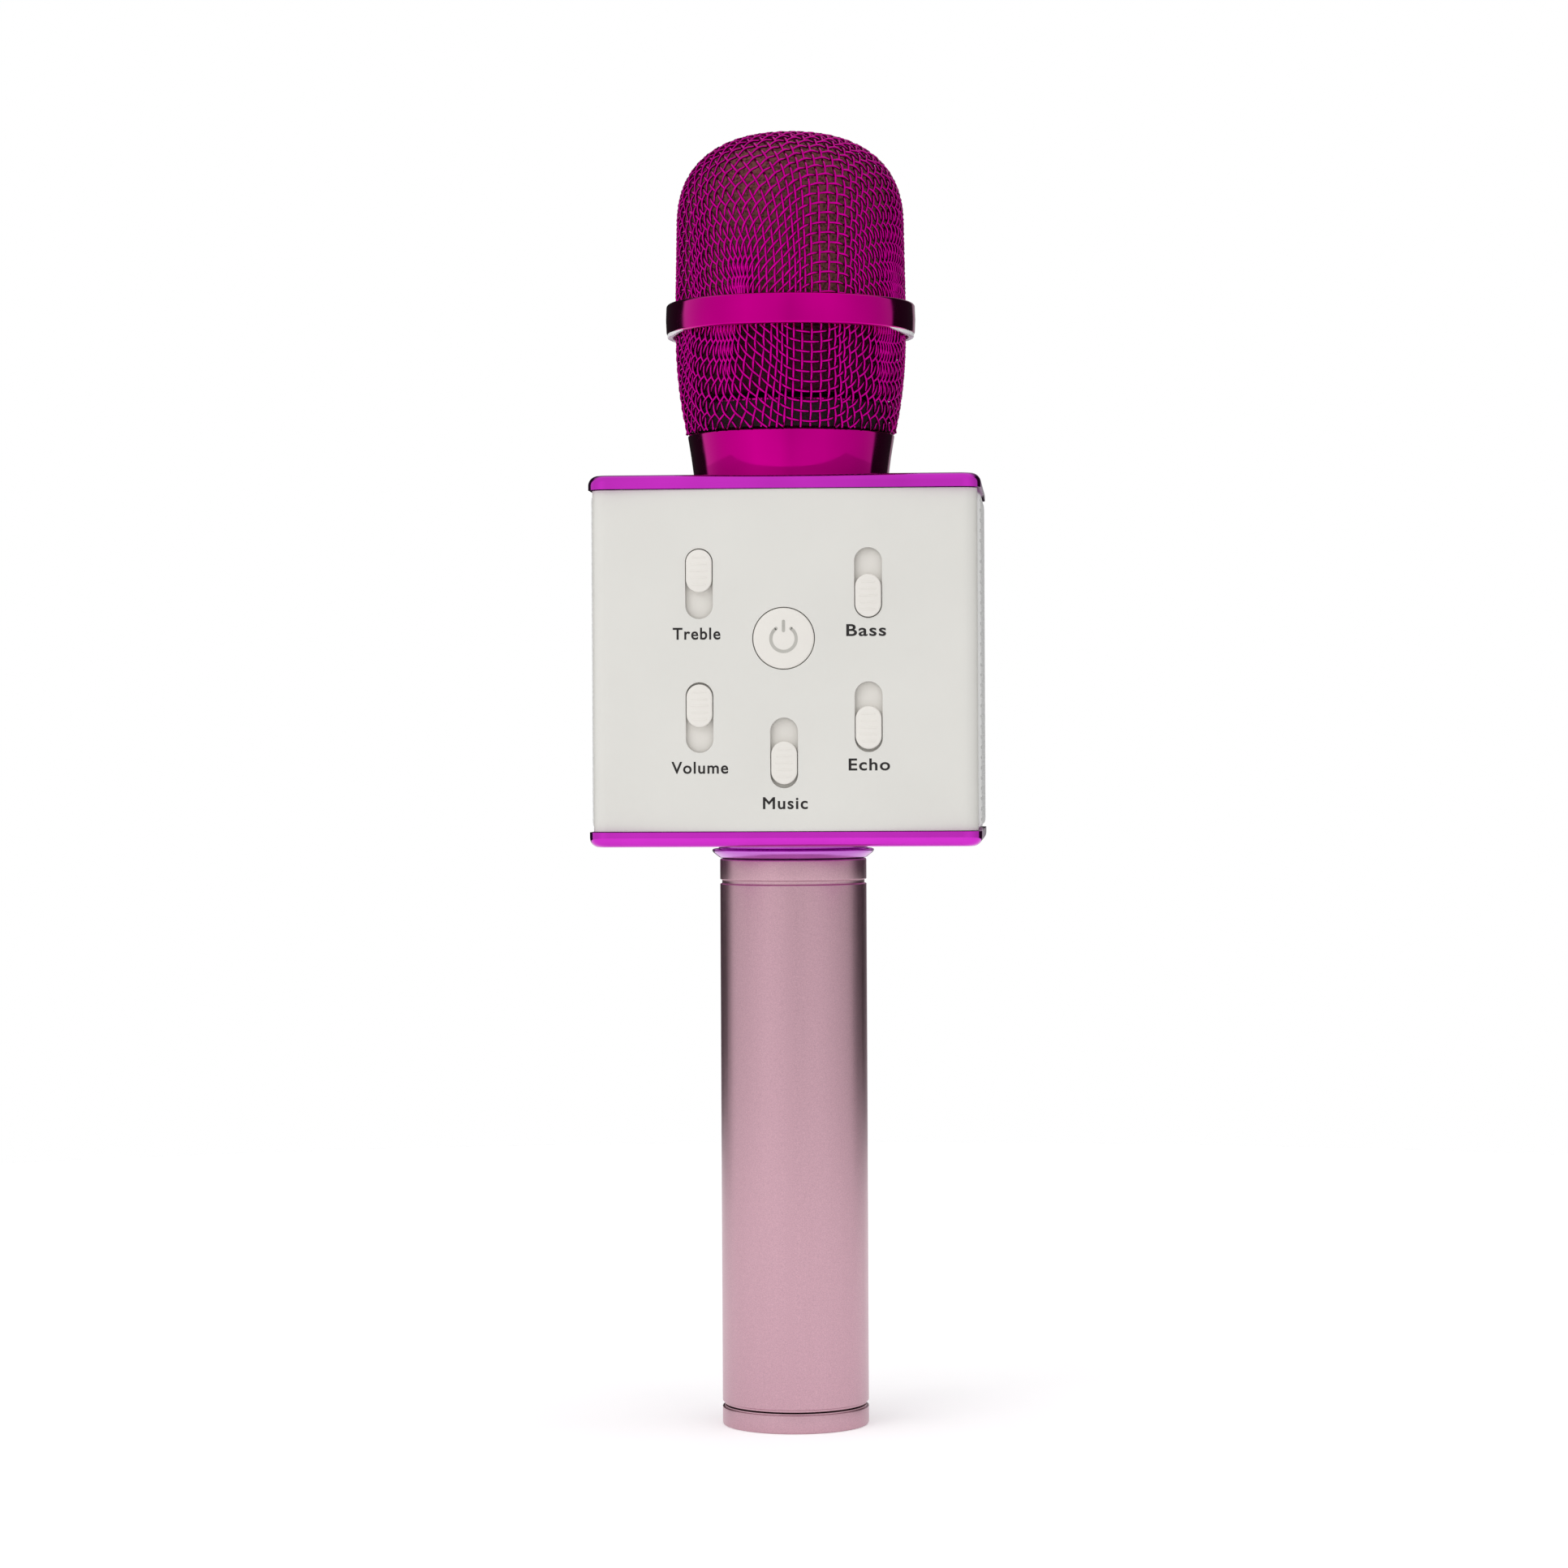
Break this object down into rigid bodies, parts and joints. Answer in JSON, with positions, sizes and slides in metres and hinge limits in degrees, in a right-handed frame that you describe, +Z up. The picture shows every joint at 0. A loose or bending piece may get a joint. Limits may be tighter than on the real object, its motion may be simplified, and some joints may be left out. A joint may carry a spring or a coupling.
{
  "type": "toy karaoke microphone",
  "caption": "Handheld karaoke microphone with a woven wire head, a control box with sliders and side loudspeakers, and a round handle.",
  "frame": {"origin": "middle of the flat bottom face of the handle's end cap", "axes": "+Z up along the handle, towards the head; -Y out of the control panel; +X to the right of someone facing the panel"},
  "size_m": [0.0774, 0.0546, 0.2609],
  "materials": {
    "magenta_plating": "vacuum plated, mirror bright magenta",
    "purple_plating": "vacuum plated, mirror bright purple",
    "rose_aluminium": "bead blasted and rose anodised",
    "white_panel": "satin, soft-touch white",
    "knob_plastic": "satin warm white",
    "white_mesh": "perforated steel, painted white",
    "foam": "open-cell brown foam",
    "black_plastic": "matt moulded",
    "steel": "bright nickel plated",
    "brass": "bright",
    "circuit_board": "green solder mask",
    "cone_paper": "pressed paper cone, black",
    "cell_sleeve": "shrink sleeve, blue",
    "lead_sleeve": "vinyl insulation"
  },
  "bodies": {
    "body": {"handle_tube": "rose_aluminium", "handle_core": "black_plastic", "battery_cell": "cell_sleeve", "battery_top_contact": "brass", "handle_collar": "purple_plating", "collar_screw_left": "steel", "collar_screw_right": "steel", "bottom_plate": "purple_plating", "top_plate": "purple_plating", "front_shell": "white_panel", "rear_shell": "white_panel", "side_grille_left": "white_mesh", "side_grille_right": "white_mesh", "main_board": "circuit_board", "port_board": "circuit_board", "radio_module": "steel", "usb_socket": "steel", "audio_jack": "black_plastic", "power_switch": "black_plastic", "neck_cone": "magenta_plating", "capsule_holder": "black_plastic", "capsule": "steel", "battery_lead": "lead_sleeve", "capsule_lead": "black_plastic", "speaker_lead_left": "lead_sleeve", "speaker_lead_right": "lead_sleeve", "case_screw_1": "steel", "case_screw_2": "steel", "case_screw_3": "steel", "case_screw_4": "steel", "speaker_frame_left": "black_plastic", "speaker_magnet_left": "steel", "speaker_cone_left": "cone_paper", "speaker_frame_right": "black_plastic", "speaker_magnet_right": "steel", "speaker_cone_right": "cone_paper", "treble_pot": "steel", "bass_pot": "steel", "volume_pot": "steel", "echo_pot": "steel", "music_pot": "steel"},
    "treble_slider": {"treble_knob": "knob_plastic", "treble_wiper": "brass"},
    "bass_slider": {"bass_knob": "knob_plastic", "bass_wiper": "brass"},
    "volume_slider": {"volume_knob": "knob_plastic", "volume_wiper": "brass"},
    "echo_slider": {"echo_knob": "knob_plastic", "echo_wiper": "brass"},
    "music_slider": {"music_knob": "knob_plastic", "music_wiper": "brass"},
    "power_button": {"power_button": "knob_plastic"},
    "head_lift": {"foam_windscreen": "foam"},
    "head_cage": {"upper_basket": "magenta_plating", "head_band": "magenta_plating", "lower_basket": "magenta_plating", "head_thread_ring": "black_plastic"},
    "cap_lift": {"contact_spring": "steel"},
    "end_cap": {"handle_end_cap": "rose_aluminium"}
  },
  "joints": [
    {"name": "treble_slide", "type": "slide", "parent": "body", "child": "treble_slider", "axis": [0, 0, 1], "range_m": [-0.005, 0]},
    {"name": "bass_slide", "type": "slide", "parent": "body", "child": "bass_slider", "axis": [0, 0, 1], "range_m": [0, 0.005]},
    {"name": "volume_slide", "type": "slide", "parent": "body", "child": "volume_slider", "axis": [0, 0, 1], "range_m": [-0.0048, 0.0002]},
    {"name": "echo_slide", "type": "slide", "parent": "body", "child": "echo_slider", "axis": [0, 0, 1], "range_m": [-0.0004, 0.0046]},
    {"name": "music_slide", "type": "slide", "parent": "body", "child": "music_slider", "axis": [0, 0, 1], "range_m": [-0.00055, 0.00445]},
    {"name": "power_press", "type": "slide", "parent": "body", "child": "power_button", "axis": [0, 1, 0], "range_m": [0, 0.0008], "stiffness_N_per_m": 1500, "springref_m": -0.0004},
    {"name": "head_rise", "type": "slide", "parent": "body", "child": "head_lift", "axis": [0, 0, 1], "range_m": [0, 0.00451]},
    {"name": "head_turn", "type": "hinge", "parent": "head_lift", "child": "head_cage", "pos_m": [0, 0, 0.2001], "axis": [0, 0, 1], "range_deg": [0, 1080]},
    {"name": "cap_drop", "type": "slide", "parent": "body", "child": "cap_lift", "axis": [0, 0, -1], "range_m": [0, 0.00451]},
    {"name": "cap_turn", "type": "hinge", "parent": "cap_lift", "child": "end_cap", "pos_m": [0, 0, 0.004], "axis": [0, 0, -1], "range_deg": [0, 1080]}
  ],
  "couplings": [
    {"joint": "head_rise", "follows": "head_turn", "m_per_rad": 0.00023873},
    {"joint": "cap_drop", "follows": "cap_turn", "m_per_rad": 0.00023873}
  ]
}
